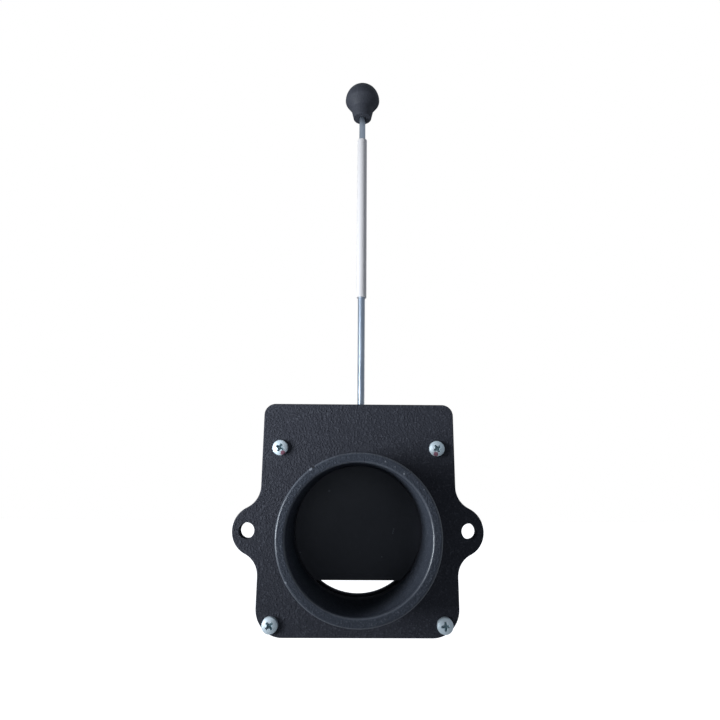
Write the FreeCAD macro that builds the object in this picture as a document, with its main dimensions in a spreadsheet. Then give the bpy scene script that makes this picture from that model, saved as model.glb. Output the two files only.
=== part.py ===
"""Slide-gate damper for a stove pipe.

A plate with two ears carries a welded spigot for the flue pipe. Behind it a
blade slides up and down in a U-shaped guide, and a back plate closes the slot.
The blade is lifted by a threaded rod with a plastic sleeve and a ball knob.

Frame: millimetres, +Z up, the spigot points to -Y. The origin lies on the bore
axis at the back plate's rear face, which seats on the stove's outlet.
"""
import FreeCAD, Part
import math
import os
from enum import IntEnum

import Sketcher

PARTS_FOLDER = "parts"
AGREEMENT = 1e-3
FULL_TURN = 360.0
QUARTER_TURN = 90.0


class Point(IntEnum):
    """The points of a sketch line, arc or circle."""

    START = 1
    END = 2
    CENTRE = 3


class Axis(IntEnum):
    """The two axes of a sketch."""

    LEVEL = -1
    UPRIGHT = -2


# Driving dimensions in millimetres, and two angles in degrees
SIZES = {
    # spigot for the flue pipe, and its weld
    "spigot_diameter": 88.9,
    "spigot_wall": 5.6,
    "spigot_length": 45.0,
    "spigot_edge_radius": 1.5,
    "weld_leg": 3.0,
    "weld_root": 2.5,
    "weld_crown": 1.8,
    # blade, by how far it reaches past the bore, and its stored place above the slot's floor
    "blade_overlap": 5.15,
    "blade_spare": 22.3,
    "blade_thickness": 8.0,
    "blade_face_gap": 0.3,
    "blade_side_gap": 0.5,
    "blade_corner_radius": 4.0,
    "blade_lift": 12.1,
    # slot that guides the blade: seat below the bore, rails beside it, sill under it
    "slot_seat": 2.45,
    "slot_grip": 19.15,
    "slot_corner_radius": 3.0,
    "rail_width": 15.5,
    "sill_height": 18.3,
    "back_thickness": 5.0,
    # front plate, which hides the lock nut, and its ears
    "plate_cover": 2.6,
    "plate_thickness": 8.0,
    "plate_edge_radius": 0.8,
    "top_corner_radius": 7.0,
    "bottom_corner_radius": 16.0,
    "ear_length": 16.4,
    "ear_radius": 15.0,
    "ear_root_radius": 14.0,
    "ear_hole_inset": 8.9,
    "ear_hole_diameter": 9.5,
    # screws through the plates
    "top_screw_inset": 11.1,
    "top_screw_fall": 8.4,
    "bottom_screw_inset": 9.0,
    "bottom_screw_lift": 7.2,
    "screw_diameter": 5.0,
    "screw_tip_cover": 1.6,
    "screw_tip_chamfer": 0.6,
    "screw_hole_gap": 0.25,
    "screw_thread_gap": 0.02,
    "screw_head_diameter": 9.5,
    "screw_head_height": 3.7,
    "screw_head_side": 2.2,
    "screw_head_edge_radius": 0.9,
    "recess_span": 5.2,
    "recess_slot": 1.6,
    "recess_depth": 2.6,
    "recess_taper": 10.0,
    "recess_core_diameter": 3.2,
    "recess_core_taper": 22.0,
    # pull rod, lock nut, sleeve and knob
    "rod_offset": 1.4,
    "rod_end_chamfer": 0.5,
    "thread_diameter": 4.9,
    "thread_gap": 0.05,
    "thread_in_blade": 14.0,
    "thread_above_blade": 82.8,
    "thread_shoulder": 0.25,
    "blade_hole_spare": 1.5,
    "shank_gap": 0.05,
    "shank_bare": 18.7,
    "shank_in_knob": 12.0,
    "nut_height": 4.0,
    "nut_chamfer": 0.5,
    "sleeve_length": 124.0,
    "sleeve_wall": 1.15,
    "sleeve_edge_radius": 0.3,
    "knob_diameter": 25.5,
    "knob_belly_radius": 3.1,
    "knob_taper": 35.0,
    "knob_taper_drop": 7.3,
    "knob_neck_length": 7.8,
    "knob_neck_radius": 2.5,
    "knob_foot_diameter": 13.2,
    "knob_edge_radius": 0.5,
    "knob_hole_spare": 1.0,
    "knob_mouth_chamfer": 0.6,
}

# Dimensions that follow from the driving ones
DERIVED = {
    "bore_diameter": "spigot_diameter - 2 * spigot_wall",
    "blade_width": "bore_diameter + 2 * blade_overlap",
    "blade_height": "bore_diameter + blade_spare",
    "slot_depth": "blade_thickness + 2 * blade_face_gap",
    "slot_width": "blade_width + 2 * blade_side_gap",
    "slot_floor_drop": "bore_diameter / 2 + slot_seat",
    "slot_rise": "bore_diameter / 2 + slot_grip",
    "blade_edge_drop": "slot_floor_drop - blade_lift",
    "blade_top": "blade_height - blade_edge_drop",
    "plate_width": "slot_width + 2 * rail_width",
    "plate_drop": "slot_floor_drop + sill_height",
    "plate_rise": "blade_top + nut_height + plate_cover",
    "ear_centre": "plate_width / 2 + ear_length - ear_radius",
    "ear_hole_spacing": "plate_width + 2 * (ear_length - ear_hole_inset)",
    "top_screw_spacing": "plate_width - 2 * top_screw_inset",
    "top_screw_rise": "slot_rise - top_screw_fall",
    "bottom_screw_spacing": "plate_width - 2 * bottom_screw_inset",
    "bottom_screw_drop": "plate_drop - bottom_screw_lift",
    "screw_length": "plate_thickness + slot_depth + back_thickness - screw_tip_cover",
    "shank_diameter": "thread_diameter - 2 * thread_shoulder",
    "nut_across_flats": "blade_thickness",
    "sleeve_diameter": "shank_diameter + 2 * (shank_gap + sleeve_wall)",
    "sleeve_foot": "blade_top + thread_above_blade",
    "knob_drop": "knob_taper_drop + knob_neck_length",
    "knob_belly_drop": "knob_belly_radius * sin(knob_taper)",
    "knob_belly_reach": "knob_diameter / 2 - knob_belly_radius * (1 - cos(knob_taper))",
    "knob_neck_reach": "knob_belly_reach - (knob_taper_drop - knob_belly_drop) * tan(knob_taper)",
    "knob_centre": "sleeve_foot + sleeve_length + shank_bare + knob_drop",
    "plate_back": "-(back_thickness + slot_depth)",
    "plate_front": "plate_back - plate_thickness",
    "slot_middle": "-(back_thickness + slot_depth / 2)",
}

# Where each cross recess came to rest when its screw was tightened
SCREW_TURNS = {
    "top_left_screw": 65.0,
    "top_right_screw": 32.0,
    "bottom_left_screw": 42.0,
    "bottom_right_screw": 3.0,
}

doc = FreeCAD.newDocument("stove_pipe_damper")
nodes = []


def make_sheet():
    """Put the dimensions in a spreadsheet, one aliased cell each."""
    sheet = doc.addObject("Spreadsheet::Sheet", "Sizes")
    cells = {alias: str(value) for alias, value in SIZES.items()}
    cells.update({alias: f"={formula}" for alias, formula in DERIVED.items()})
    for row, (alias, content) in enumerate(cells.items(), start=1):
        sheet.set(f"A{row}", alias)
        sheet.set(f"B{row}", content)
        sheet.setAlias(f"B{row}", alias)
    doc.recompute()
    return sheet


def size(alias):
    """The present value of one dimension."""
    return float(sizes.get(alias))


def value_of(expression):
    """The present value of an expression of the dimensions."""
    return float(sizes.evalExpression(str(expression)))


def start_body(label, x="0", y="0", z="0"):
    """A new sub-part whose origin is placed by three expressions."""
    body = doc.addObject("PartDesign::Body", label)
    body.Label = label
    for axis, place in (("x", x), ("y", y), ("z", z)):
        body.setExpression(f"Placement.Base.{axis}", place)
    nodes.append(body)
    return body


def start_sketch(body, name, plane, lift="0"):
    """A sketch on one of the body's own planes, lifted along its normal."""
    sketch = body.newObject("Sketcher::SketchObject", f"{body.Name}_{name}")
    support = next(item for item in body.Origin.OriginFeatures if item.Role == plane)
    sketch.AttachmentSupport = [(support, "")]
    sketch.MapMode = "FlatFace"
    sketch.setExpression("AttachmentOffset.Base.z", lift)
    return sketch


def hold_point(sketch, geometry, position, x, y):
    """Tie a sketch point to the origin by two expressions."""
    for kind, axis, expression in (("DistanceX", Axis.UPRIGHT, x), ("DistanceY", Axis.LEVEL, y)):
        if expression == "0":
            sketch.addConstraint(Sketcher.Constraint("PointOnObject", geometry, position, axis))
        else:
            ends = (Axis.LEVEL, Point.START, geometry, position)
            index = sketch.addConstraint(Sketcher.Constraint(kind, *ends, value_of(expression)))
            sketch.setExpression(f"Constraints[{index}]", expression)


def add_outline(sketch, corners, closed=True):
    """Straight edges through corners given as expressions, closed or left open."""
    points = [FreeCAD.Vector(value_of(x), value_of(y), 0) for x, y in corners]
    targets = points[1:] + points[:1] if closed else points[1:]
    edges = [sketch.addGeometry(Part.LineSegment(start, end), False)
             for start, end in zip(points, targets)]
    followers = edges[1:] + edges[:1] if closed else edges[1:]
    for edge, follower in zip(edges, followers):
        sketch.addConstraint(Sketcher.Constraint("Coincident", edge, Point.END, follower, Point.START))
    for edge, (x, y) in zip(edges, corners):
        hold_point(sketch, edge, Point.START, x, y)
    if not closed:
        hold_point(sketch, edges[-1], Point.END, *corners[-1])
    return edges


def add_circle(sketch, x, y, diameter):
    """A circle whose centre and diameter are expressions."""
    centre = FreeCAD.Vector(value_of(x), value_of(y), 0)
    circle = Part.Circle(centre, FreeCAD.Vector(0, 0, 1), value_of(diameter) / 2)
    geometry = sketch.addGeometry(circle, False)
    hold_point(sketch, geometry, Point.CENTRE, x, y)
    index = sketch.addConstraint(Sketcher.Constraint("Diameter", geometry, value_of(diameter)))
    sketch.setExpression(f"Constraints[{index}]", diameter)


def add_arc(sketch, centre_x, radius, first, last):
    """An arc about a point on the level axis, between two angles in degrees."""
    circle = Part.Circle(FreeCAD.Vector(centre_x, 0, 0), FreeCAD.Vector(0, 0, 1), radius)
    arc = Part.ArcOfCircle(circle, math.radians(first), math.radians(last))
    return sketch.addGeometry(arc, False)


def add_dome(sketch, rim_x, rim_y, crown_y):
    """An arc from the axis at the crown to the rim, with its centre on the axis."""
    reach = value_of(rim_x)
    rise = value_of(rim_y) - value_of(crown_y)
    radius = (reach ** 2 + rise ** 2) / (2 * rise)
    centre_y = value_of(crown_y) + radius
    circle = Part.Circle(FreeCAD.Vector(0, centre_y, 0), FreeCAD.Vector(0, 0, 1), radius)
    to_crown = -math.pi / 2
    to_rim = math.atan2(value_of(rim_y) - centre_y, reach)
    geometry = sketch.addGeometry(Part.ArcOfCircle(circle, to_crown, to_rim), False)
    sketch.addConstraint(Sketcher.Constraint("PointOnObject", geometry, Point.CENTRE, Axis.UPRIGHT))
    return geometry


def add_pad(body, sketch, length):
    """Raise the sketch along its normal."""
    pad = body.newObject("PartDesign::Pad", f"{sketch.Name}_pad")
    pad.Profile = sketch
    pad.setExpression("Length", length)
    doc.recompute()


def cut_pocket(body, sketch, length, backwards=False, taper="0"):
    """Cut the sketch into the body, and see that it took material away."""
    before = body.Shape.Volume
    pocket = body.newObject("PartDesign::Pocket", f"{sketch.Name}_cut")
    pocket.Profile = sketch
    pocket.Reversed = backwards
    pocket.setExpression("Length", length)
    pocket.setExpression("TaperAngle", taper)
    doc.recompute()
    if body.Shape.Volume > before - AGREEMENT:
        raise RuntimeError(f"{pocket.Name} removes nothing")


def turn_profile(body, sketch):
    """Revolve the sketch a full turn about its own vertical axis."""
    turned = body.newObject("PartDesign::Revolution", f"{sketch.Name}_turn")
    turned.Profile = sketch
    turned.ReferenceAxis = (sketch, ["V_Axis"])
    turned.Angle = FULL_TURN
    doc.recompute()


def dress_edges(body, kind, name, radius, wanted):
    """Round or chamfer the edges of the body that the test picks."""
    base = body.Tip
    picked = [f"Edge{i}" for i, edge in enumerate(base.Shape.Edges, start=1) if wanted(edge)]
    if not picked:
        raise RuntimeError(f"{body.Label} has no edge for {name}")
    dress = body.newObject(f"PartDesign::{kind}", f"{body.Name}_{name}")
    dress.Base = (base, picked)
    dress.setExpression("Radius" if kind == "Fillet" else "Size", radius)
    doc.recompute()


def near(first, second):
    """Whether two lengths agree."""
    return abs(first - second) < AGREEMENT


def upright_edge(x, z):
    """A test for the straight edge along Y that passes through x, z."""
    def wanted(edge):
        ends = [vertex.Point for vertex in edge.Vertexes]
        along = len(ends) == 2 and near(ends[0].x, ends[1].x) and near(ends[0].z, ends[1].z)
        return along and near(abs(ends[0].x), x) and near(ends[0].z, z)
    return wanted


def ring_edge(radius, axis, place):
    """A test for the full circle of a radius at a place along an axis."""
    def wanted(edge):
        if edge.Degenerated or not isinstance(edge.Curve, Part.Circle):
            return False
        return near(edge.Curve.Radius, radius) and near(getattr(edge.Curve.Center, axis), place)
    return wanted


def level_edge(y):
    """A test for the edges that lie in the plane at y."""
    def wanted(edge):
        return near(edge.BoundBox.YMin, y) and near(edge.BoundBox.YMax, y)
    return wanted


def any_of(*tests):
    """A test for the edges that pass at least one of the tests."""
    def wanted(edge):
        return any(test(edge) for test in tests)
    return wanted


def add_screw_circles(sketch, gap):
    """The four screw holes, seen from the front, opened by a radial gap."""
    diameter = f"Sizes.screw_diameter + 2 * Sizes.{gap}"
    for side in ("-", ""):
        add_circle(sketch, f"{side}Sizes.top_screw_spacing / 2", "Sizes.top_screw_rise", diameter)
        add_circle(sketch, f"{side}Sizes.bottom_screw_spacing / 2", "-Sizes.bottom_screw_drop", diameter)


def add_slab(body, rise, thickness):
    """A plate of the damper's width that reaches up to the given rise."""
    sketch = start_sketch(body, "outline", "XZ_Plane")
    half = "Sizes.plate_width / 2"
    corners = [(f"-{half}", "-Sizes.plate_drop"), (half, "-Sizes.plate_drop"),
               (half, rise), (f"-{half}", rise)]
    add_outline(sketch, corners)
    add_pad(body, sketch, thickness)


def round_corners(body, rise):
    """Round the two top and the two bottom corners of a plate."""
    half = size("plate_width") / 2
    top = upright_edge(half, value_of(rise))
    bottom = upright_edge(half, -size("plate_drop"))
    dress_edges(body, "Fillet", "top_corners", "Sizes.top_corner_radius", top)
    dress_edges(body, "Fillet", "bottom_corners", "Sizes.bottom_corner_radius", bottom)


def make_front_plate():
    """The plate with the ears: slab, ear discs, root and corner curves, then its holes."""
    body = start_body("front_plate", y="Sizes.plate_back")
    add_slab(body, "Sizes.plate_rise", "Sizes.plate_thickness")
    ears = start_sketch(body, "ears", "XZ_Plane")
    for side in ("-", ""):
        add_circle(ears, f"{side}Sizes.ear_centre", "0", "2 * Sizes.ear_radius")
    add_pad(body, ears, "Sizes.plate_thickness")
    half = size("plate_width") / 2
    overhang = size("ear_centre") - half
    root_z = math.sqrt(size("ear_radius") ** 2 - overhang ** 2)
    roots = any_of(upright_edge(half, root_z), upright_edge(half, -root_z))
    dress_edges(body, "Fillet", "ear_roots", "Sizes.ear_root_radius", roots)
    round_corners(body, "Sizes.plate_rise")
    front = level_edge(-size("plate_thickness"))
    dress_edges(body, "Fillet", "front_edge", "Sizes.plate_edge_radius", front)
    holes = start_sketch(body, "holes", "XZ_Plane")
    add_circle(holes, "0", "0", "Sizes.bore_diameter")
    for side in ("-", ""):
        add_circle(holes, f"{side}Sizes.ear_hole_spacing / 2", "0", "Sizes.ear_hole_diameter")
    add_screw_circles(holes, "screw_hole_gap")
    cut_pocket(body, holes, "Sizes.plate_thickness", backwards=True)


def make_spigot():
    """The tube for the flue pipe, bevelled at its foot for the weld."""
    body = start_body("spigot", y="Sizes.plate_front")
    section = start_sketch(body, "section", "XY_Plane")
    inner, outer = "Sizes.bore_diameter / 2", "Sizes.spigot_diameter / 2"
    add_outline(section, [(inner, "0"), (inner, "-Sizes.spigot_length"), (outer, "-Sizes.spigot_length"),
                          (outer, "-Sizes.weld_leg"), (f"{outer} - Sizes.weld_root", "0")])
    turn_profile(body, section)
    rim = level_edge(-size("spigot_length"))
    dress_edges(body, "Fillet", "rim", "Sizes.spigot_edge_radius", rim)


def make_spigot_weld():
    """The bead that fills the spigot's bevel and the corner on the plate."""
    body = start_body("spigot_weld", y="Sizes.plate_front")
    section = start_sketch(body, "section", "XY_Plane")
    outer = "Sizes.spigot_diameter / 2"
    add_outline(section, [(f"{outer} - Sizes.weld_root", "0"), (outer, "-Sizes.weld_leg"),
                          (f"{outer} + Sizes.weld_leg / 2", "-Sizes.weld_crown"),
                          (f"{outer} + Sizes.weld_leg", "0")])
    turn_profile(body, section)


def make_guide_frame():
    """The U-shaped spacer: a slab with the blade's channel cut down from its top."""
    body = start_body("guide_frame", y="-Sizes.back_thickness")
    add_slab(body, "Sizes.slot_rise", "Sizes.slot_depth")
    round_corners(body, "Sizes.slot_rise")
    channel = start_sketch(body, "channel", "XZ_Plane")
    half = "Sizes.slot_width / 2"
    floor, mouth = "-Sizes.slot_floor_drop", "Sizes.slot_rise"
    add_outline(channel, [(f"-{half}", floor), (half, floor), (half, mouth), (f"-{half}", mouth)])
    cut_pocket(body, channel, "Sizes.slot_depth", backwards=True)
    dress_edges(body, "Fillet", "channel_corners", "Sizes.slot_corner_radius",
                upright_edge(value_of(half), value_of(floor)))
    holes = start_sketch(body, "holes", "XZ_Plane")
    add_screw_circles(holes, "screw_hole_gap")
    cut_pocket(body, holes, "Sizes.slot_depth", backwards=True)


def make_back_plate():
    """The plate behind the blade, with the bore and the tapped screw holes."""
    body = start_body("back_plate")
    add_slab(body, "Sizes.slot_rise", "Sizes.back_thickness")
    round_corners(body, "Sizes.slot_rise")
    holes = start_sketch(body, "holes", "XZ_Plane")
    add_circle(holes, "0", "0", "Sizes.bore_diameter")
    add_screw_circles(holes, "screw_thread_gap")
    cut_pocket(body, holes, "Sizes.back_thickness", backwards=True)


def make_blade():
    """The gate, with round lower corners and the rod's tapped hole in its top edge."""
    back_y = "-(Sizes.back_thickness + Sizes.blade_face_gap)"
    body = start_body("blade", y=back_y, z="-Sizes.blade_edge_drop")
    outline = start_sketch(body, "outline", "XZ_Plane")
    half = "Sizes.blade_width / 2"
    add_outline(outline, [(f"-{half}", "0"), (half, "0"),
                          (half, "Sizes.blade_height"), (f"-{half}", "Sizes.blade_height")])
    add_pad(body, outline, "Sizes.blade_thickness")
    half_width, height = value_of(half), size("blade_height")
    corners = any_of(upright_edge(half_width, 0), upright_edge(half_width, height))
    dress_edges(body, "Fillet", "corners", "Sizes.blade_corner_radius", corners)
    hole = start_sketch(body, "rod_hole", "XY_Plane", lift="Sizes.blade_height")
    add_circle(hole, "Sizes.rod_offset", "-Sizes.blade_thickness / 2",
               "Sizes.thread_diameter + 2 * Sizes.thread_gap")
    cut_pocket(body, hole, "Sizes.thread_in_blade + Sizes.blade_hole_spare")


def make_pull_rod():
    """The rod: rolled thread below, plain shank of the thread's pitch size above."""
    body = start_body("pull_rod", x="Sizes.rod_offset", y="Sizes.slot_middle", z="Sizes.blade_top")
    section = start_sketch(body, "section", "XZ_Plane")
    foot, shoulder = "-Sizes.thread_in_blade", "Sizes.thread_above_blade"
    top = "(Sizes.thread_above_blade + Sizes.sleeve_length + Sizes.shank_bare + Sizes.shank_in_knob)"
    thread, shank = "Sizes.thread_diameter / 2", "Sizes.shank_diameter / 2"
    bevel = "Sizes.rod_end_chamfer"
    add_outline(section, [("0", foot), (f"{thread} - {bevel}", foot), (thread, f"{foot} + {bevel}"),
                          (thread, shoulder), (shank, shoulder), (shank, f"{top} - {bevel}"),
                          (f"{shank} - {bevel}", top), ("0", top)])
    turn_profile(body, section)


def make_lock_nut():
    """The hexagon nut on the blade's top edge, with its corners chamfered."""
    hexagon = doc.addObject("Part::Prism", "nut_hexagon")
    hexagon.Polygon = 6
    hexagon.setExpression("Circumradius", "Sizes.nut_across_flats / sqrt(3)")
    hexagon.setExpression("Height", "Sizes.nut_height")
    blank = doc.addObject("Part::Cylinder", "nut_blank")
    blank.setExpression("Radius", "Sizes.nut_across_flats / sqrt(3)")
    blank.setExpression("Height", "Sizes.nut_height")
    doc.recompute()
    turned = doc.addObject("Part::Chamfer", "nut_turned")
    turned.Base = blank
    bevel = size("nut_chamfer")
    rims = [i for i, edge in enumerate(blank.Shape.Edges, start=1) if edge.isClosed()]
    turned.Edges = [(i, bevel, bevel) for i in rims]
    shaped = doc.addObject("Part::Common", "nut_shaped")
    shaped.Base = hexagon
    shaped.Tool = turned
    hole = doc.addObject("Part::Cylinder", "nut_hole")
    hole.setExpression("Radius", "Sizes.thread_diameter / 2 + Sizes.thread_gap")
    hole.setExpression("Height", "Sizes.nut_height")
    nut = doc.addObject("Part::Cut", "lock_nut")
    nut.Label = "lock_nut"
    nut.Base = shaped
    nut.Tool = hole
    for axis, place in (("x", "Sizes.rod_offset"), ("y", "Sizes.slot_middle"), ("z", "Sizes.blade_top")):
        nut.setExpression(f"Placement.Base.{axis}", place)
    nodes.append(nut)


def make_rod_sleeve():
    """The plastic tube that sits on the shoulder of the rod's thread."""
    body = start_body("rod_sleeve", x="Sizes.rod_offset", y="Sizes.slot_middle", z="Sizes.sleeve_foot")
    ring = start_sketch(body, "ring", "XY_Plane")
    add_circle(ring, "0", "0", "Sizes.sleeve_diameter")
    add_circle(ring, "0", "0", "Sizes.shank_diameter + 2 * Sizes.shank_gap")
    add_pad(body, ring, "Sizes.sleeve_length")
    outer = size("sleeve_diameter") / 2
    ends = any_of(ring_edge(outer, "z", 0), ring_edge(outer, "z", size("sleeve_length")))
    dress_edges(body, "Fillet", "ends", "Sizes.sleeve_edge_radius", ends)


def make_ball_knob():
    """The knob: a domed ball that tapers into a conical neck, turned and bored from below for the rod."""
    body = start_body("ball_knob", x="Sizes.rod_offset", y="Sizes.slot_middle", z="Sizes.knob_centre")
    profile = start_sketch(body, "profile", "XZ_Plane")
    reach, belly, drop = "Sizes.knob_diameter / 2", "Sizes.knob_belly_radius", "Sizes.knob_drop"
    lines = add_outline(profile, [("0", reach), ("0", f"-{drop}"), ("Sizes.knob_foot_diameter / 2", f"-{drop}"),
                                  ("Sizes.knob_neck_reach", "-Sizes.knob_taper_drop"),
                                  ("Sizes.knob_belly_reach", "-Sizes.knob_belly_drop")], closed=False)
    side = add_arc(profile, value_of(f"{reach} - {belly}"), value_of(belly), -size("knob_taper"), 0)
    crown = add_arc(profile, 0, value_of(reach), 0, QUARTER_TURN)
    hold_point(profile, side, Point.END, reach, "0")
    profile.addConstraint(Sketcher.Constraint("Coincident", lines[-1], Point.END, side, Point.START))
    profile.addConstraint(Sketcher.Constraint("Coincident", side, Point.END, crown, Point.START))
    profile.addConstraint(Sketcher.Constraint("Coincident", crown, Point.END, lines[0], Point.START))
    profile.addConstraint(Sketcher.Constraint("PointOnObject", side, Point.CENTRE, Axis.LEVEL))
    profile.addConstraint(Sketcher.Constraint("PointOnObject", crown, Point.CENTRE, Axis.UPRIGHT))
    turn_profile(body, profile)
    neck = ring_edge(size("knob_neck_reach"), "z", -size("knob_taper_drop"))
    dress_edges(body, "Fillet", "neck", "Sizes.knob_neck_radius", neck)
    foot_z = -size("knob_drop")
    foot = ring_edge(size("knob_foot_diameter") / 2, "z", foot_z)
    dress_edges(body, "Fillet", "foot", "Sizes.knob_edge_radius", foot)
    hole = start_sketch(body, "hole", "XY_Plane", lift="-Sizes.knob_drop")
    add_circle(hole, "0", "0", "Sizes.shank_diameter + 2 * Sizes.shank_gap")
    cut_pocket(body, hole, "Sizes.shank_in_knob + Sizes.knob_hole_spare", backwards=True)
    hole_radius = size("shank_diameter") / 2 + size("shank_gap")
    dress_edges(body, "Chamfer", "mouth", "Sizes.knob_mouth_chamfer", ring_edge(hole_radius, "z", foot_z))


def make_screw():
    """One pan head screw along Y, its head's underside at the origin."""
    body = doc.addObject("PartDesign::Body", "screw")
    section = start_sketch(body, "section", "XY_Plane")
    shank, head = "Sizes.screw_diameter / 2", "Sizes.screw_head_diameter / 2"
    side, crown = "-Sizes.screw_head_side", "-Sizes.screw_head_height"
    tip, bevel = "Sizes.screw_length", "Sizes.screw_tip_chamfer"
    corners = [("0", crown), ("0", tip), (f"{shank} - {bevel}", tip), (shank, f"{tip} - {bevel}"),
               (shank, "0"), (head, "0"), (head, side)]
    lines = add_outline(section, corners, closed=False)
    dome = add_dome(section, head, side, crown)
    section.addConstraint(Sketcher.Constraint("Coincident", dome, Point.START, lines[0], Point.START))
    section.addConstraint(Sketcher.Constraint("Coincident", dome, Point.END, lines[-1], Point.END))
    turn_profile(body, section)
    shoulder = ring_edge(size("screw_head_diameter") / 2, "y", -size("screw_head_side"))
    dress_edges(body, "Fillet", "shoulder", "Sizes.screw_head_edge_radius", shoulder)
    recess = start_sketch(body, "recess", "XZ_Plane", lift="Sizes.screw_head_height")
    span, slot = "Sizes.recess_span / 2", "Sizes.recess_slot / 2"
    arm = [(slot, slot), (slot, span), (f"-{slot}", span)]
    arm += [(f"-{slot}", slot), (f"-{span}", slot), (f"-{span}", f"-{slot}")]
    arm += [(f"-{slot}", f"-{slot}"), (f"-{slot}", f"-{span}"), (slot, f"-{span}")]
    arm += [(slot, f"-{slot}"), (span, f"-{slot}"), (span, slot)]
    add_outline(recess, arm)
    cut_pocket(body, recess, "Sizes.recess_depth", taper="-Sizes.recess_taper")
    core = start_sketch(body, "recess_core", "XZ_Plane", lift="Sizes.screw_head_height")
    add_circle(core, "0", "0", "Sizes.recess_core_diameter")
    cut_pocket(body, core, "Sizes.recess_depth", taper="-Sizes.recess_core_taper")
    return body


def make_cover_screws():
    """The four screws that hold the plates and the guide frame together."""
    screw = make_screw()
    copies = []
    for name, turn in SCREW_TURNS.items():
        row, column = name.split("_")[:2]
        side = "-" if column == "left" else ""
        height = "Sizes.top_screw_rise" if row == "top" else "-Sizes.bottom_screw_drop"
        copy = doc.addObject("App::Link", name)
        copy.LinkedObject = screw
        copy.Placement.Rotation = FreeCAD.Rotation(FreeCAD.Vector(0, -1, 0), turn)
        copy.setExpression("Placement.Base.x", f"{side}Sizes.{row}_screw_spacing / 2")
        copy.setExpression("Placement.Base.y", "Sizes.plate_front")
        copy.setExpression("Placement.Base.z", height)
        copies.append(copy)
    group = doc.addObject("Part::Compound", "cover_screws")
    group.Label = "cover_screws"
    group.Links = copies
    nodes.append(group)


def check_document():
    """Stop if any object failed or any sub-part has no valid solid."""
    doc.recompute()
    for item in doc.Objects:
        if "Invalid" in item.State or "Error" in item.State:
            raise RuntimeError(f"{item.Name} failed: {item.State}")
    for node in nodes:
        if node.Shape.isNull() or not node.Shape.isValid() or not node.Shape.Solids:
            raise RuntimeError(f"{node.Label} has no valid solid")


def write_parts():
    """Write each sub-part to a file of its own name."""
    os.makedirs(PARTS_FOLDER, exist_ok=True)
    for node in nodes:
        node.Shape.exportStep(os.path.join(PARTS_FOLDER, f"{node.Label}.step"))
        print(f"{node.Label}: {len(node.Shape.Solids)} solid, {node.Shape.Volume:.1f} mm3")


sizes = make_sheet()
make_front_plate()
make_spigot()
make_spigot_weld()
make_guide_frame()
make_back_plate()
make_cover_screws()
make_blade()
make_pull_rod()
make_lock_nut()
make_rod_sleeve()
make_ball_knob()
check_document()
write_parts()
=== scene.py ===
"""Looks of the slide-gate stove pipe damper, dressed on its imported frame.

Metres, +Z up, the spigot points to -Y. The CAD nodes keep their shapes and get
their finishes here, and the pull rod gets its rolled thread.
"""
import logging
import math
from dataclasses import dataclass
from enum import Enum

import bpy
from mathutils import Matrix, Vector


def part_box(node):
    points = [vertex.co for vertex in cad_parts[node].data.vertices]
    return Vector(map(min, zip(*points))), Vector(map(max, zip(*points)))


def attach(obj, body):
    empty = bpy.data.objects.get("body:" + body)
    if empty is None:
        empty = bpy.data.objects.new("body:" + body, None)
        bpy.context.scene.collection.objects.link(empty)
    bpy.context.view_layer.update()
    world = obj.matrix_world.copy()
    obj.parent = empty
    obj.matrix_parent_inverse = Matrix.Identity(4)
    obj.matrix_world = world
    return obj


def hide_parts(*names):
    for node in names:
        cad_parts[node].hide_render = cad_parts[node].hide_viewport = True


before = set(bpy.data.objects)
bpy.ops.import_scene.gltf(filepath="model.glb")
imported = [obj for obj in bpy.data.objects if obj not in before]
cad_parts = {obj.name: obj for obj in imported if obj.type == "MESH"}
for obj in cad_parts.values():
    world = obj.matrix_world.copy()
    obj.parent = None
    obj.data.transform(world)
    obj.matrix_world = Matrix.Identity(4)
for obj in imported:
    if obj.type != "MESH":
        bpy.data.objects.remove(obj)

LOG = logging.getLogger("stove_pipe_damper")
MM = 0.001
Colour = tuple[float, float, float, float]
Triple = tuple[float, float, float]
Pair = tuple[float, float]
Socket = bpy.types.NodeSocket


class Body(Enum):
    """The rigid bodies of the damper."""

    HOUSING = "housing"
    GATE = "gate"


class Slot(Enum):
    """Names of the record's material slots; nothing here takes its finish from them."""

    ZINC = "zinc"


class Side(Enum):
    """The halves of the plate to either side of its middle, as signs of X."""

    LEFT = -1
    RIGHT = 1


class End(Enum):
    """The halves of the plate above and below its middle, as signs of Z."""

    UPPER = 1
    LOWER = -1


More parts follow.
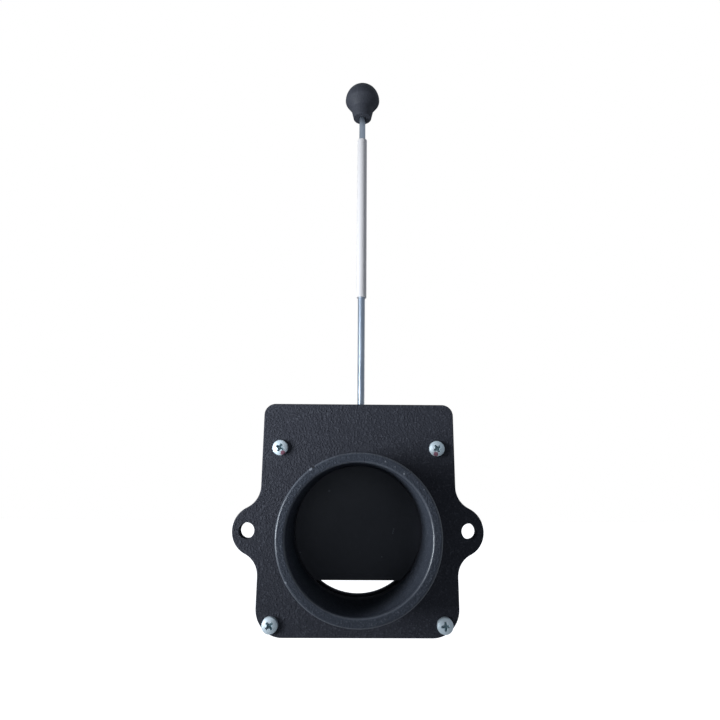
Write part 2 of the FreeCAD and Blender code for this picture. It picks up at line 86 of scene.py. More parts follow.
class Graph:
    """A thin helper that places and wires nodes in one shader tree."""

    def __init__(self, tree: bpy.types.NodeTree) -> None:
        """Keeps the tree that the nodes go into."""
        self.tree = tree

    def add(self, kind: str, **values: object) -> bpy.types.Node:
        """Adds a node and sets its properties.

        Args:
            kind: The node's type name after ShaderNode, or the whole name of a group's end node.
            **values: Properties of the node.

        Returns:
            The new node.
        """
        node = self.tree.nodes.new(kind if kind.startswith("NodeGroup") else "ShaderNode" + kind)
        for name, value in values.items():
            setattr(node, name, value)
        return node

    def feed(self, socket: Socket, value: object) -> None:
        """Links a socket to an output, or sets its plain value.

        Args:
            socket: The input to feed.
            value: An output socket, or a number, colour or vector.
        """
        if isinstance(value, Socket):
            self.tree.links.new(value, socket)
        else:
            socket.default_value = value

    def math(self, operation: str, *operands: object, clamp: bool = False) -> Socket:
        """Calculates with numbers.

        Args:
            operation: The Math node's operation.
            *operands: Sockets or numbers.
            clamp: Whether the result stays from 0 to 1.

        Returns:
            The result's socket.
        """
        node = self.add("Math", operation=operation, use_clamp=clamp)
        for socket, value in zip(node.inputs, operands):
            self.feed(socket, value)
        return node.outputs[0]

    def vector(self, operation: str, *operands: object) -> bpy.types.Node:
        """Calculates with vectors.

        Args:
            operation: The Vector Math node's operation.
            *operands: Sockets or vectors.

        Returns:
            The node, whose outputs are Vector and Value.
        """
        node = self.add("VectorMath", operation=operation)
        for socket, value in zip(node.inputs, operands):
            self.feed(socket, value)
        return node

    def step(self, value: object, low: float, high: float, first: float = 0.0, last: float = 1.0) -> Socket:
        """Maps a value through a smooth step.

        Args:
            value: The value to map.
            low: Where the step starts.
            high: Where it ends.
            first: The result before the step.
            last: The result after it.

        Returns:
            The mapped value's socket.
        """
        node = self.add("MapRange", interpolation_type="SMOOTHSTEP")
        for socket, number in zip(node.inputs, (value, low, high, first, last)):
            self.feed(socket, number)
        return node.outputs[0]

    def blend(self, share: object, first: object, second: object) -> Socket:
        """Mixes two colours.

        Args:
            share: Share of the second colour.
            first: Colour at a share of 0.
            second: Colour at a share of 1.

        Returns:
            The mixed colour's socket.
        """
        node = self.add("Mix", data_type="RGBA")
        factor, colours, result = 0, (6, 7), 2
        for index, value in zip((factor, *colours), (share, first, second)):
            self.feed(node.inputs[index], value)
        return node.outputs[result]

    def place(self) -> Socket:
        """The shaded point in the object's own coordinates."""
        return self.add("TexCoord").outputs["Object"]

    def axes(self, vector: Socket) -> bpy.types.NodeOutputs:
        """Splits a vector.

        Args:
            vector: The vector to split.

        Returns:
            Its outputs X, Y and Z.
        """
        node = self.add("SeparateXYZ")
        self.feed(node.inputs[0], vector)
        return node.outputs

    def noise(self, vector: object, scale: object, detail: float) -> Socket:
        """Fractal noise from 0 to 1.

        Args:
            vector: Where the noise is read.
            scale: Features in a metre.
            detail: Octaves.

        Returns:
            The noise's socket.
        """
        node = self.add("TexNoise")
        for name, value in (("Vector", vector), ("Scale", scale), ("Detail", detail)):
            self.feed(node.inputs[name], value)
        return node.outputs[0]

    def group(self, tree: bpy.types.NodeTree, **values: object) -> bpy.types.NodeOutputs:
        """Adds a node group.

        Args:
            tree: The group's tree.
            **values: Its inputs by name.

        Returns:
            The group's outputs.
        """
        node = self.add("Group", node_tree=tree)
        for name, value in values.items():
            self.feed(node.inputs[name], value)
        return node.outputs


class Effect:
    """Shader node groups that several finishes share, each built once."""

    trees: dict[str, bpy.types.NodeTree] = {}
    coarse_octaves: float = 1.5
    fine_octaves: float = 1.0
    fine_scale: float = 2.2
    fine_weight: float = 0.35
    cloud_octaves: float = 3.0
    cloud_scale: float = 0.035
    cloud_edge: Pair = (0.3, 0.7)
    fleck_edge: Pair = (0.56, 0.74)
    scuff_octaves: float = 2.0
    scuff_edge: Pair = (0.62, 0.74)
    ragged_scale: float = 1400.0
    ragged_octaves: float = 1.0
    ragged_edge: Pair = (0.2, 0.8)
    ragged_reach: Pair = (0.75, 1.2)
    mark_edge: Pair = (0.75, 1.0)

    @classmethod
    def start(cls, name: str, inputs: dict[str, object],
              outputs: tuple[str, ...]) -> tuple[Graph, bpy.types.NodeOutputs, bpy.types.NodeInputs]:
        """Opens a new group tree with its sockets.

        Args:
            name: The group's name.
            inputs: Default of each input, a number or a vector.
            outputs: Names of the value outputs.

        Returns:
            The graph, the group's inputs and what it puts out.
        """
        tree = bpy.data.node_groups.new(name, "ShaderNodeTree")
        for label, default in inputs.items():
            kind = "NodeSocketFloat" if isinstance(default, float) else "NodeSocketVector"
            tree.interface.new_socket(label, in_out="INPUT", socket_type=kind).default_value = default
        for label in outputs:
            tree.interface.new_socket(label, in_out="OUTPUT", socket_type="NodeSocketFloat")
        graph = Graph(tree)
        cls.trees[name] = tree
        return graph, graph.add("NodeGroupInput").outputs, graph.add("NodeGroupOutput").inputs

    @classmethod
    def grain(cls) -> bpy.types.NodeTree:
        """The pimpled skin of a sprayed or moulded surface.

        Returns:
            A group that takes Scale and puts out Height, Tone and Fleck.
        """
        if "Grain" not in cls.trees:
            graph, inputs, out = cls.start("Grain", {"Scale": 600.0}, ("Height", "Tone", "Fleck"))
            place, scale = graph.place(), inputs["Scale"]
            coarse = graph.noise(place, scale, cls.coarse_octaves)
            fine = graph.noise(place, graph.math("MULTIPLY", scale, cls.fine_scale), cls.fine_octaves)
            cloud = graph.noise(place, graph.math("MULTIPLY", scale, cls.cloud_scale), cls.cloud_octaves)
            graph.feed(out["Height"], graph.math("MULTIPLY_ADD", fine, cls.fine_weight, coarse))
            graph.feed(out["Tone"], graph.step(cloud, *cls.cloud_edge))
            graph.feed(out["Fleck"], graph.step(coarse, *cls.fleck_edge))
        return cls.trees["Grain"]

    @classmethod
    def specks(cls) -> bpy.types.NodeTree:
        """Scattered small specks.

        Returns:
            A group that takes Scale, Share of cells and Size, and puts out Mask.
        """
        if "Specks" not in cls.trees:
            defaults = {"Scale": 150.0, "Share": 0.1, "Size": 0.2}
            graph, inputs, out = cls.start("Specks", defaults, ("Mask",))
            cells = graph.add("TexVoronoi")
            graph.feed(cells.inputs["Vector"], graph.place())
            graph.feed(cells.inputs["Scale"], inputs["Scale"])
            draw = graph.add("SeparateColor")
            graph.feed(draw.inputs[0], cells.outputs["Color"])
            reach = graph.math("MULTIPLY", draw.outputs["Green"], inputs["Size"])
            inside = graph.math("LESS_THAN", cells.outputs["Distance"], reach)
            chosen = graph.math("LESS_THAN", draw.outputs["Red"], inputs["Share"])
            graph.feed(out["Mask"], graph.math("MULTIPLY", inside, chosen))
        return cls.trees["Specks"]

    @classmethod
    def scuffs(cls) -> bpy.types.NodeTree:
        """Fine scratches along one direction.

        Returns:
            A group that takes the Stretch of each axis in features per metre, and puts out Mask.
        """
        if "Scuffs" not in cls.trees:
            graph, inputs, out = cls.start("Scuffs", {"Stretch": (900.0, 900.0, 40.0)}, ("Mask",))
            scaled = graph.vector("MULTIPLY", graph.place(), inputs["Stretch"]).outputs["Vector"]
            lines = graph.noise(scaled, 1.0, cls.scuff_octaves)
            graph.feed(out["Mask"], graph.step(lines, *cls.scuff_edge))
        return cls.trees["Scuffs"]

    @classmethod
    def mark(cls) -> bpy.types.NodeTree:
        """One ragged round mark, such as a chip or a dab of paint.

        Returns:
            A group that takes Centre and Radius in metres and a Squash of each axis, and puts out Mask.
        """
        if "Mark" not in cls.trees:
            defaults = {"Centre": (0.0, 0.0, 0.0), "Squash": (1.0, 1.0, 1.0), "Radius": MM}
            graph, inputs, out = cls.start("Mark", defaults, ("Mask",))
            place = graph.place()
            offset = graph.vector("SUBTRACT", place, inputs["Centre"]).outputs["Vector"]
            squashed = graph.vector("MULTIPLY", offset, inputs["Squash"]).outputs["Vector"]
            gap = graph.vector("LENGTH", squashed).outputs["Value"]
            ragged = graph.step(graph.noise(place, cls.ragged_scale, cls.ragged_octaves),
                                *cls.ragged_edge, *cls.ragged_reach)
            share = graph.math("DIVIDE", gap, graph.math("MULTIPLY", ragged, inputs["Radius"]))
            graph.feed(out["Mask"], graph.step(share, *cls.mark_edge, 1.0, 0.0))
        return cls.trees["Mark"]


@dataclass(frozen=True)
class Mark:
    """One chip, dab, scratch or spot of painted shade, in millimetres: where it is across its face and how
    far behind the face.
    """

    x: float
    z: float
    radius: float
    colour: Colour
    behind: float = 0.0
    bare: bool = True
    squash: float = 1.0


@dataclass(frozen=True)
class Finish:
    """What every finish has: its name, its colours, and its marks on a face at a place along Y."""

    name: str
    base: Colour
    pale: Colour
    roughness: float
    specular: float
    face: float = 0.0
    marks: tuple[Mark, ...] = ()
    metal: float = 0.0
    smoother: float = 0.05
    rougher: float = 0.05

    def material(self) -> bpy.types.Material:
        """Builds the finish's material.

        Returns:
            The material, with the shader's own sockets set and the surface's changes linked.
        """
        material = bpy.data.materials.new(self.name)
        material.use_nodes = True
        material.node_tree.nodes.clear()
        graph = Graph(material.node_tree)
        shader = graph.add("BsdfPrincipled")
        graph.feed(graph.add("OutputMaterial").inputs["Surface"], shader.outputs[0])
        graph.feed(shader.inputs["Specular IOR Level"], self.specular)
        colour, metal = self.dress(graph, shader), self.metal
        for mark in self.marks:
            centre = (MM * mark.x, MM * (self.face + mark.behind), MM * mark.z)
            mask = graph.group(Effect.mark(), Centre=centre, Squash=(1.0, mark.squash, 1.0),
                               Radius=mark.radius * MM)["Mask"]
            colour = graph.blend(mask, colour, mark.colour)
            if not mark.bare:
                metal = graph.math("SUBTRACT", metal, mask, clamp=True)
        graph.feed(shader.inputs["Base Color"], colour)
        graph.feed(shader.inputs["Metallic"], metal)
        return material

    def dress(self, graph: Graph, shader: bpy.types.Node) -> Socket:
        """Wires the finish's detail.

        Args:
            graph: The material's graph.
            shader: Its Principled BSDF.

        Returns:
            The base colour's socket, before the marks.
        """
        raise NotImplementedError

    def dullness(self, graph: Graph, tone: Socket, full: float = 1.0) -> Socket:
        """Varies the roughness with a tone.

        Args:
            graph: The material's graph.
            tone: The tone's socket.
            full: The tone at which the surface is roughest.

        Returns:
            The roughness's socket.
        """
        return graph.step(tone, 0.0, full, self.roughness - self.smoother, self.roughness + self.rougher)

    def skin(self, graph: Graph, shader: bpy.types.Node, height: Socket, depth: float) -> None:
        """Feeds a bump to the shader's normal.

        Args:
            graph: The material's graph.
            shader: Its Principled BSDF.
            height: The height's socket.
            depth: Height of the bumps in millimetres.
        """
        bump = graph.add("Bump")
        graph.feed(bump.inputs["Distance"], depth * MM)
        graph.feed(bump.inputs["Height"], height)
        graph.feed(shader.inputs["Normal"], bump.outputs[0])


@dataclass(frozen=True)
class StovePaint(Finish):
    """Matt black stove paint with a fine wrinkle grain and pale flecks."""

    grain: float = 950.0
    depth: float = 0.8
    flecks: float = 0.4
    speck_scale: float = 260.0
    speck_share: float = 0.05
    speck_size: float = 0.15
    speck_weight: float = 0.9

    def dress(self, graph: Graph, shader: bpy.types.Node) -> Socket:
        """Wires grain, flecks and specks.

        Args:
            graph: The material's graph.
            shader: Its Principled BSDF.

        Returns:
            The base colour's socket, before the marks.
        """
        grain = graph.group(Effect.grain(), Scale=self.grain)
        specks = graph.group(Effect.specks(), Scale=self.speck_scale, Share=self.speck_share,
                             Size=self.speck_size)
        self.skin(graph, shader, grain["Height"], self.depth)
        light = graph.math("MAXIMUM", graph.math("MULTIPLY", grain["Fleck"], self.flecks),
                           graph.math("MULTIPLY", specks["Mask"], self.speck_weight))
        dull, light = self.rub(graph, shader, grain["Tone"], self.dullness(graph, grain["Tone"]), light)
        graph.feed(shader.inputs["Roughness"], dull)
        return graph.blend(light, self.base, self.pale)

    def rub(self, graph: Graph, shader: bpy.types.Node, tone: Socket, dull: Socket,
            light: Socket) -> tuple[Socket, Socket]:
        """Rubs the paint where it is handled and pales its edges as a painted highlight, neither of which
        plain paint gets.

        Args:
            graph: The material's graph.
            shader: Its Principled BSDF.
            tone: The grain's tone.
            dull: The roughness so far.
            light: The share of the pale colour so far.

        Returns:
            The roughness and the share of the pale colour.
        """
        return dull, light


@dataclass(frozen=True)
class RimmedPaint(StovePaint):
    """Stove paint on a tube whose front rim is worn smoother and whose edges are rubbed shiny and paled,
    partly as real wear and partly as a painted highlight.
    """

    rim_roughness: float = 0.42
    rim_depth: float = 1.5
    rim_fade: float = 1.0
    rim_gloss: float = 0.22
    edge_start: Pair = (0.02, 0.2)
    edge_end: Pair = (0.6, 1.1)
    edge_gloss: float = 1.0
    edge_roughness: float = 0.32
    # Share of the pale colour on the rim's edges: partly real rubbing, partly a painted highlight along the
    # rounds.
    edge_wear_and_highlight: Pair = (0.12, 0.3)

    def rub(self, graph: Graph, shader: bpy.types.Node, tone: Socket, dull: Socket,
            light: Socket) -> tuple[Socket, Socket]:
        """Wears the rim, rubs its edges shiny and pales them, partly as real wear and partly as a painted
        highlight.

        Args:
            graph: The material's graph.
            shader: Its Principled BSDF.
            tone: The grain's tone.
            dull: The roughness so far.
            light: The share of the pale colour so far.

        Returns:
            The roughness and the share of the pale colour.
        """
        depth = graph.axes(graph.place())["Y"]
        worn = self.ahead(graph, depth, (self.rim_depth, self.rim_depth + self.rim_fade))
        started = graph.step(depth, *(MM * (self.face + reach) for reach in self.edge_start))
        edge = graph.math("MULTIPLY", started, self.ahead(graph, depth, self.edge_end))
        gloss = graph.math("MAXIMUM", graph.math("MULTIPLY", worn, self.rim_gloss),
                           graph.math("MULTIPLY", edge, self.edge_gloss))
        graph.feed(shader.inputs["Coat Weight"], gloss)
        graph.feed(shader.inputs["Coat Roughness"], self.edge_roughness)
        # Painted highlight, partly real wear: the rim's rounded edges are blended toward the pale colour.
        patchy = graph.math("MULTIPLY", edge, graph.step(tone, 0.0, 1.0, *self.edge_wear_and_highlight))
        return (graph.math("MULTIPLY_ADD", worn, self.rim_roughness - self.roughness, dull),
                graph.math("MAXIMUM", light, patchy))

    def ahead(self, graph: Graph, depth: Socket, span: Pair) -> Socket:
        """Masks what lies ahead of a depth behind the face.

        Args:
            graph: The material's graph.
            depth: The shaded point's place along Y.
            span: Where the mask starts to fade and where it ends, in millimetres behind the face.

        Returns:
            The mask's socket.
        """
        return graph.step(depth, *(MM * (self.face + reach) for reach in span), 1.0, 0.0)


@dataclass(frozen=True)
class BladePaint(Finish):
    """Smoother black paint on the blade, rubbed up and down by its slot."""

    grain: float = 500.0
    depth: float = 0.05
    smoother: float = 0.06
    rougher: float = 0.06
    scratch: Triple = (520.0, 520.0, 130.0)
    scratch_weight: float = 0.12
    speck_scale: float = 160.0
    speck_share: float = 0.1
    speck_size: float = 0.14
    speck_weight: float = 0.6

    def dress(self, graph: Graph, shader: bpy.types.Node) -> Socket:
        """Wires grain, scratches and specks.

        Args:
            graph: The material's graph.
            shader: Its Principled BSDF.

        Returns:
            The base colour's socket, before the marks.
        """
        grain = graph.group(Effect.grain(), Scale=self.grain)
        scuffs = graph.group(Effect.scuffs(), Stretch=self.scratch)
        specks = graph.group(Effect.specks(), Scale=self.speck_scale, Share=self.speck_share,
                             Size=self.speck_size)
        self.skin(graph, shader, grain["Height"], self.depth)
        graph.feed(shader.inputs["Roughness"], self.dullness(graph, grain["Tone"]))
        patchy = graph.math("MULTIPLY", grain["Tone"], self.scratch_weight)
        rub = graph.math("MULTIPLY", scuffs["Mask"], patchy)
        worn = graph.math("MAXIMUM", rub, graph.math("MULTIPLY", specks["Mask"], self.speck_weight))
        return graph.blend(worn, self.base, self.pale)


@dataclass(frozen=True)
class Zinc(Finish):
    """Bright bluish zinc plate, with a slightly mottled shine."""

    metal: float = 1.0
    grain: float = 1200.0
    depth: float = 0.01
    smoother: float = 0.07
    rougher: float = 0.1
    scratch: Triple = (900.0, 900.0, 900.0)
    scratch_weight: float = 0.5

    def dress(self, graph: Graph, shader: bpy.types.Node) -> Socket:
        """Wires the mottled shine and fine scratches.

        Args:
            graph: The material's graph.
            shader: Its Principled BSDF.

        Returns:
            The base colour's socket, before the marks.
        """
        grain = graph.group(Effect.grain(), Scale=self.grain)
        scuffs = graph.group(Effect.scuffs(), Stretch=self.scratch)
        tone = graph.math("MULTIPLY_ADD", scuffs["Mask"], self.scratch_weight, grain["Tone"])
        graph.feed(shader.inputs["Roughness"], self.dullness(graph, tone, 1.0 + self.scratch_weight))
        self.skin(graph, shader, grain["Height"], self.depth)
        return graph.blend(grain["Tone"], self.base, self.pale)


@dataclass(frozen=True)
class Plastic(Finish):
    """Moulded or drawn plastic with its grain and faint handling marks."""

    grain: float = 1000.0
    depth: float = 0.3
    smoother: float = 0.04
    rougher: float = 0.06
    tone_weight: float = 0.4
    scratch: Triple = (600.0, 600.0, 90.0)
    scratch_weight: float = 0.3

    def dress(self, graph: Graph, shader: bpy.types.Node) -> Socket:
        """Wires grain and handling marks.

        Args:
            graph: The material's graph.
            shader: Its Principled BSDF.

        Returns:
            The base colour's socket, before the marks.
        """
        grain = graph.group(Effect.grain(), Scale=self.grain)
        scuffs = graph.group(Effect.scuffs(), Stretch=self.scratch)
        self.skin(graph, shader, grain["Height"], self.depth)
        graph.feed(shader.inputs["Roughness"], self.dullness(graph, grain["Tone"]))
        worn = graph.math("MULTIPLY", scuffs["Mask"], self.scratch_weight)
        share = graph.math("MULTIPLY_ADD", grain["Tone"], self.tone_weight, worn)
        return graph.blend(share, self.base, self.pale)


def front(node: str) -> float:
    """Where a CAD node's front lies along Y, in millimetres."""
    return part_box(node)[0].y / MM


def screw_axis(side: Side, end: End) -> Pair:
    """Finds the cover screw in one quarter of the plate.

    Args:
        side: The half of the plate to the left or right.
        end: The half of the plate above or below.

    Returns:
        X and Z of the screw's axis in millimetres.
    """
    points = [vertex.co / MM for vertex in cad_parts["cover_screws"].data.vertices]
    quarter = [point for point in points if point.x * side.value > 0 and point.z * end.value > 0]
    across, along = [point.x for point in quarter], [point.z for point in quarter]
    return (min(across) + max(across)) / 2, (min(along) + max(along)) / 2


PLATE_BASE: Colour = (0.034, 0.035, 0.0445, 1.0)
PLATE_PALE: Colour = (0.115, 0.118, 0.140, 1.0)
RIM_BASE: Colour = (0.045, 0.0505, 0.0645, 1.0)
RIM_PALE: Colour = (0.150, 0.160, 0.185, 1.0)
BLADE_BASE: Colour = (0.045, 0.047, 0.059, 1.0)
BURR: Colour = (0.20, 0.21, 0.235, 1.0)
SCRATCH: Colour = (0.13, 0.14, 0.16, 1.0)
# Painted shade: a near-black spot standing in for the shadow in a pit, which is not modelled.
PIT_SHADE: Colour = (0.006, 0.006, 0.008, 1.0)
SCREW_BASE: Colour = (0.68, 0.78, 0.83, 1.0)
SCREW_PALE: Colour = (0.76, 0.84, 0.88, 1.0)
RECESS_SHADE: Colour = (0.32, 0.44, 0.48, 1.0)
RED_DAB: Colour = (0.28, 0.12, 0.16, 1.0)
ROD_BASE: Colour = (0.475, 0.535, 0.605, 1.0)
ROD_PALE: Colour = (0.565, 0.61, 0.67, 1.0)
SLEEVE_BASE: Colour = (0.63, 0.596, 0.587, 1.0)
SLEEVE_PALE: Colour = (0.67, 0.631, 0.621, 1.0)
KNOB_BASE: Colour = (0.034, 0.0355, 0.044, 1.0)
KNOB_PALE: Colour = (0.060, 0.062, 0.076, 1.0)

# A pale burr with a near-black spot of painted shade where its pit is, and three nicks, on the spigot's rim.
RIM_MARKS = (
    Mark(-26.4, 35.3, 1.1, BURR, behind=0.5),
    Mark(-24.9, 36.3, 1.0, PIT_SHADE, behind=0.5),
    Mark(-37.8, -22.3, 0.7, BURR, behind=0.4),
    Mark(14.1, 39.4, 0.5, BURR),
    Mark(24.1, 33.0, 0.6, BURR),
)
# One slanting scratch right of the blade's middle, and two small chips lower down.
BLADE_MARKS = (
    Mark(21.5, -1.7, 0.6, SCRATCH),
    Mark(21.8, -0.5, 0.6, SCRATCH),
    Mark(22.2, 0.7, 0.6, SCRATCH),
    Mark(-35.4, -13.3, 0.6, SCRATCH),
    Mark(14.7, -15.6, 0.5, SCRATCH),
)
# The shade in each screw's recess, and the red dab on the crown of each upper screw.
UPPER_SCREWS, LOWER_SCREWS = (tuple(screw_axis(side, end) for side in Side) for end in End)
DAB_OFFSETS = ((1.9, -3.2), (-0.9, -3.3))
SCREW_MARKS = (
    *(Mark(x, z, 2.9, RECESS_SHADE, behind=-1.3, squash=1.25) for x, z in UPPER_SCREWS + LOWER_SCREWS),
    *(Mark(x + across, z + up, 1.8, RED_DAB, behind=-2.6, bare=False)
      for (x, z), (across, up) in zip(UPPER_SCREWS, DAB_OFFSETS)),
)

PLATE_PAINT = StovePaint("stove_paint", PLATE_BASE, PLATE_PALE, roughness=0.62, specular=0.15)
SPIGOT_PAINT = RimmedPaint("spigot_paint", RIM_BASE, RIM_PALE, roughness=0.85, specular=0.03,
                           face=front("spigot"), marks=RIM_MARKS,
                           grain=1100.0, depth=0.7, flecks=0.45, speck_share=0.06)
BLADE_PAINT = BladePaint("blade_paint", BLADE_BASE, SCRATCH, roughness=0.45, specular=0.5,
                         face=front("blade"), marks=BLADE_MARKS)
SCREW_ZINC = Zinc("screw_zinc", SCREW_BASE, SCREW_PALE, roughness=0.5, specular=0.5, metal=0.25,
                  face=front("front_plate"), marks=SCREW_MARKS)
ROD_ZINC = Zinc("rod_zinc", ROD_BASE, ROD_PALE, roughness=0.4, specular=0.5, scratch=(500.0, 500.0, 900.0))
SLEEVE_WHITE = Plastic("sleeve_white", SLEEVE_BASE, SLEEVE_PALE, roughness=0.3, specular=0.5,
                       grain=300.0, depth=0.003)
KNOB_BLACK = Plastic("knob_black", KNOB_BASE, KNOB_PALE, roughness=0.56, specular=0.22)


def wear(node: str, material: bpy.types.Material) -> None:
    """Puts a material on a CAD node.

    Args:
        node: The node's name.
        material: Its material.
    """
    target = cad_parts[node]
    target.data.materials.clear()
    target.data.materials.append(material)
    LOG.info("%s: %s", node, material.name)


def alone(obj: bpy.types.Object | None = None) -> None:
    """Selects one object and makes it the active one, or selects none.

    Args:
        obj: The object, if any.
    """
    bpy.ops.object.select_all(action="DESELECT")
    if obj is not None:
        obj.select_set(True)
        bpy.context.view_layer.objects.active = obj


@dataclass
class Housing:
    """The welded and screwed body: plates, guide, spigot, weld and screws."""

    painted: tuple[str, ...] = ("front_plate", "guide_frame", "back_plate", "spigot_weld")

    def dress(self) -> None:
        """Puts the paint and the zinc on."""
        paint = PLATE_PAINT.material()
        for node in self.painted:
            wear(node, paint)
        wear("spigot", SPIGOT_PAINT.material())
        wear("cover_screws", SCREW_ZINC.material())
        LOG.info("%s: dressed", Body.HOUSING.value)


@dataclass
class Gate:
    """The blade with its rod, nut, sleeve and knob."""

    pitch: float = 0.8 * MM
    major: float = 2.45 * MM
    minor: float = 1.97 * MM
    crest: float = 0.16 * MM
    shank: float = 2.2 * MM
    run_out: float = 0.5 * MM
    steps: int = 24
    bevel_steps: int = 2
    smooth_angle: float = 25.0
    seam: float = 0.008 * MM
    level: float = 0.001 * MM

    def dress(self) -> None:
        """Puts the finishes on the pieces whose CAD shapes are shown."""
        wear("blade", BLADE_PAINT.material())
        wear("rod_sleeve", SLEEVE_WHITE.material())
        wear("ball_knob", KNOB_BLACK.material())

    def build(self) -> None:
        """Models the rod in place of the plain one and dresses the rod and its nut."""
        zinc = ROD_ZINC.material()
        wear("lock_nut", zinc)
        rod = self.build_rod()
        rod.data.materials.append(zinc)
        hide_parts("pull_rod")
        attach(rod, Body.GATE.value)
        LOG.info("%s: %d faces", rod.name, len(rod.data.polygons))
        LOG.info("%s: dressed", Body.GATE.value)

    def build_rod(self) -> bpy.types.Object:
        """Models the rod with its rolled thread.

        Returns:
            The finished rod.
        """
        low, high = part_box("pull_rod")
        top_of_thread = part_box("rod_sleeve")[0].z
        centre = (low + high) / 2
        thread = self.build_thread(Vector((centre.x, centre.y, low.z)), top_of_thread - low.z)
        shank = self.build_shank(centre, top_of_thread - self.run_out, high.z)
        alone(thread)
        shank.select_set(True)
        bpy.ops.object.join()
        bpy.ops.object.transform_apply(location=True, rotation=True, scale=True)
        bpy.ops.object.shade_smooth_by_angle(angle=math.radians(self.smooth_angle))
        rod = bpy.context.object
        rod.name = rod.data.name = "threaded_rod"
        return rod

    def build_thread(self, foot: Vector, length: float) -> bpy.types.Object:
        """Winds the thread's profile up the rod.

        Args:
            foot: Lower end of the thread on the rod's axis.
            length: Length of the thread.

        Returns:
            The thread, closed at both ends.
        """
        alone()
        bpy.ops.mesh.primitive_plane_add(size=self.pitch, location=foot)
        thread = bpy.context.object
        bpy.ops.object.mode_set(mode="EDIT")
        bpy.ops.mesh.select_all(action="SELECT")
        bpy.ops.mesh.merge(type="CENTER")
        bpy.ops.transform.translate(value=(self.minor, 0, 0))
        rise, flank = self.major - self.minor, (self.pitch - 2 * self.crest) / 2
        for out, up in ((0, self.crest), (rise, flank), (0, self.crest), (-rise, flank)):
            bpy.ops.mesh.extrude_vertices_move(TRANSFORM_OT_translate={"value": (out, 0, up)})
        bpy.ops.object.mode_set(mode="OBJECT")
        winding = thread.modifiers.new("winding", "SCREW")
        winding.axis, winding.angle, winding.screw_offset = "Z", math.tau, self.pitch
        winding.iterations = int(length / self.pitch) - 1
        winding.steps = winding.render_steps = self.steps
        bpy.ops.object.modifier_apply(modifier=winding.name)
        bpy.ops.object.mode_set(mode="EDIT")
        bpy.ops.mesh.select_all(action="SELECT")
        bpy.ops.mesh.remove_doubles(threshold=self.seam)
        bpy.ops.mesh.select_all(action="SELECT")
        bpy.ops.mesh.fill_holes(sides=0)
        bpy.ops.mesh.select_all(action="SELECT")
        bpy.ops.mesh.normals_make_consistent(inside=False)
        bpy.ops.object.mode_set(mode="OBJECT")
        return thread

    def build_shank(self, axis: Vector, foot: float, top: float) -> bpy.types.Object:
        """Models the plain shank above the thread.

        Args:
            axis: A point on the rod's axis.
            foot: Height of its lower end.
            top: Height of its upper end.

        Returns:
            The shank, with its ends bevelled.
        """
        alone()
        bpy.ops.mesh.primitive_cylinder_add(vertices=2 * self.steps, radius=self.shank, depth=top - foot,
                                            location=(axis.x, axis.y, (foot + top) / 2))
        shank = bpy.context.object
        bpy.ops.object.mode_set(mode="EDIT")
        bpy.ops.mesh.select_all(action="DESELECT")
        bpy.ops.object.mode_set(mode="OBJECT")
        for edge in shank.data.edges:
            first, second = (shank.data.vertices[index].co.z for index in edge.vertices)
            edge.select = abs(first - second) < self.level
        bpy.ops.object.mode_set(mode="EDIT")
        bpy.ops.mesh.select_mode(type="EDGE")
        bpy.ops.mesh.bevel(offset=self.run_out, segments=self.bevel_steps, affect="EDGES")
        bpy.ops.object.mode_set(mode="OBJECT")
        return shank


@dataclass(frozen=True)
class Lamp:
    """One soft box."""

    name: str
    place: Triple
    aim: Triple
    width: float
    height: float
    power: float
    spread: float
    colour: Triple

    def build(self) -> bpy.types.Object:
        """Adds the lamp, turned to its aim.

        Returns:
            The lamp.
        """
        light = bpy.data.lights.new(self.name, "AREA")
        light.shape, light.size, light.size_y = "RECTANGLE", self.width, self.height
        light.energy, light.color = self.power, self.colour
        light.spread = math.radians(self.spread)
        lamp = bpy.data.objects.new(self.name, light)
        bpy.context.scene.collection.objects.link(lamp)
        lamp.location = self.place
        look = Vector(self.aim) - Vector(self.place)
        lamp.rotation_euler = look.to_track_quat("-Z", "Y").to_euler()
        return lamp


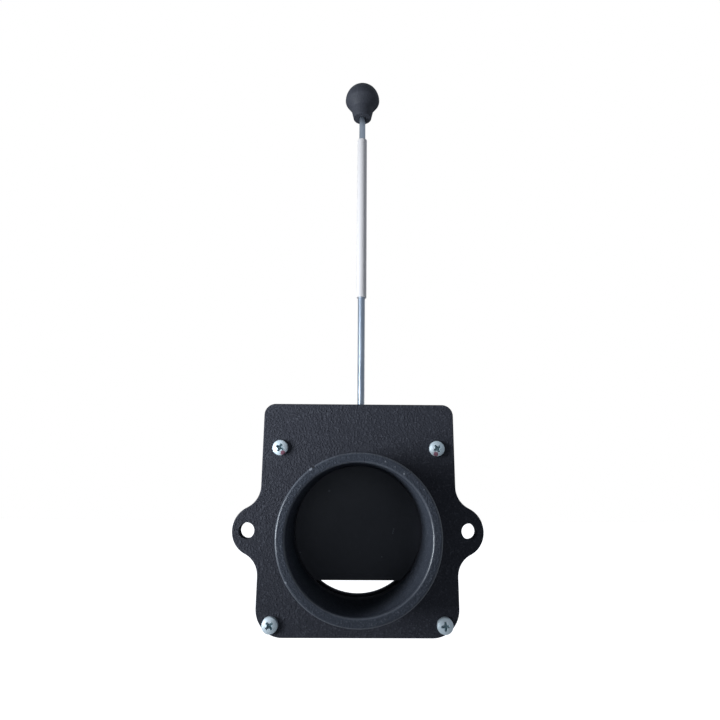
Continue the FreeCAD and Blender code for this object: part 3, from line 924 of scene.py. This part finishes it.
@dataclass
class Studio:
    """Pale floor, white surroundings, a soft window light and the camera.

    The fill is stronger from the right and in a ring around the rear, and each
    span gives where such a change starts and ends along its axis of direction.
    """

    floor_height: float = -0.36
    floor_reach: float = 6.0
    floor_colour: Colour = (0.8, 0.8, 0.8, 1.0)
    floor_glow: float = 0.97
    fill: float = 0.11
    right_fill: float = 0.65
    right_span: Pair = (0.5, 0.9)
    rear_fill: float = 1.0
    rear_span: Pair = (0.25, 0.55)
    rear_end: Pair = (0.75, 0.9)
    front_shine: float = 0.42
    back_shine: float = 0.01
    shine_span: Pair = (0.4, 0.85)
    sky: Colour = (0.86, 0.96, 1.08, 1.0)
    white: Colour = (1.0, 1.0, 1.0, 1.0)
    lamps: tuple[Lamp, ...] = (
        Lamp("window", place=(-0.42, -0.25, 0.065), aim=(-0.03, -0.03, 0.165), width=0.18, height=0.28,
             power=1.0, spread=80.0, colour=(0.86, 0.93, 1.0)),
    )
    camera_place: Triple = (-0.00324, -0.36245, 0.02589)
    camera_turn: Triple = (-0.63, 13.3, 0.34)
    lens: float = 26.902
    sensor: float = 36.0

    def build(self) -> None:
        """Builds everything around the object."""
        self.build_world()
        floor = self.build_floor()
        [lamp.build() for lamp in self.lamps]
        self.build_camera()

    def build_world(self) -> None:
        """Makes the surroundings white to the eye and a soft fill to the object."""
        world = bpy.data.worlds.new("studio")
        bpy.context.scene.world = world
        world.use_nodes = True
        world.node_tree.nodes.clear()
        graph = Graph(world.node_tree)
        path = graph.add("LightPath").outputs
        toward = graph.axes(graph.add("TexCoord").outputs["Generated"])
        shine = graph.step(toward["Y"], *self.shine_span, self.front_shine, self.back_shine)
        right = graph.step(toward["X"], *self.right_span, self.fill, self.right_fill)
        rear = graph.math("MULTIPLY", graph.step(toward["Y"], *self.rear_span, self.fill, self.rear_fill),
                          graph.step(toward["Y"], *self.rear_end, 1.0, 0.0))
        lit = self.choose(graph, path["Is Glossy Ray"], shine, graph.math("MAXIMUM", right, rear))
        seen = graph.math("MAXIMUM", path["Is Camera Ray"], path["Is Transmission Ray"])
        background = graph.add("Background")
        graph.feed(background.inputs["Color"], graph.blend(seen, self.sky, self.white))
        graph.feed(background.inputs["Strength"], self.choose(graph, seen, 1.0, lit))
        graph.feed(graph.add("OutputWorld").inputs["Surface"], background.outputs[0])

    def choose(self, graph: Graph, flag: Socket, if_set: object, if_not: object) -> Socket:
        """Picks one of two values by a flag of 0 or 1.

        Args:
            graph: The graph to wire in.
            flag: The flag's socket.
            if_set: The value where the flag is 1.
            if_not: The value where it is 0.

        Returns:
            The picked value's socket.
        """
        unset = graph.math("SUBTRACT", 1.0, flag)
        return graph.math("ADD", graph.math("MULTIPLY", flag, if_set), graph.math("MULTIPLY", unset, if_not))

    def build_floor(self) -> bpy.types.Object:
        """Lays the pale floor.

        Returns:
            The floor.
        """
        alone()
        bpy.ops.mesh.primitive_plane_add(size=2 * self.floor_reach, location=(0, 0, self.floor_height))
        floor = bpy.context.object
        floor.name = "floor"
        material = bpy.data.materials.new("pale_floor")
        material.use_nodes = True
        material.node_tree.nodes.clear()
        graph = Graph(material.node_tree)
        diffuse, glow, both = (graph.add(kind) for kind in ("BsdfDiffuse", "Emission", "AddShader"))
        seen = graph.add("LightPath").outputs["Is Camera Ray"]
        graph.feed(diffuse.inputs["Color"], self.floor_colour)
        graph.feed(glow.inputs["Strength"], graph.math("MULTIPLY", seen, self.floor_glow))
        graph.feed(both.inputs[0], diffuse.outputs[0])
        graph.feed(both.inputs[1], glow.outputs[0])
        graph.feed(graph.add("OutputMaterial").inputs["Surface"], both.outputs[0])
        floor.data.materials.append(material)
        return floor

    def build_camera(self) -> None:
        """Sets the camera where the photograph was taken."""
        yaw, pitch, roll = (math.radians(angle) for angle in self.camera_turn)
        turn = (Matrix.Rotation(-roll, 3, "Y").transposed() @ Matrix.Rotation(-pitch, 3, "X")
                @ Matrix.Rotation(-yaw, 3, "Z"))
        right, ahead, up = turn
        camera = bpy.data.cameras.new("camera")
        camera.lens, camera.sensor_width = self.lens, self.sensor
        holder = bpy.data.objects.new("camera", camera)
        bpy.context.scene.collection.objects.link(holder)
        pose = Matrix((right, up, -ahead)).transposed().to_4x4()
        pose.translation = self.camera_place
        holder.matrix_world = pose
        bpy.context.scene.camera = holder
        bpy.context.scene.view_settings.view_transform = "Standard"


def main() -> None:
    """Builds the sub-assemblies in order."""
    logging.basicConfig(level=logging.INFO, format="%(message)s")
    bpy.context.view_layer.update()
    Housing().dress()
    gate = Gate()
    gate.dress()
    gate.build()
    Studio().build()


if __name__ == "__main__":
    main()
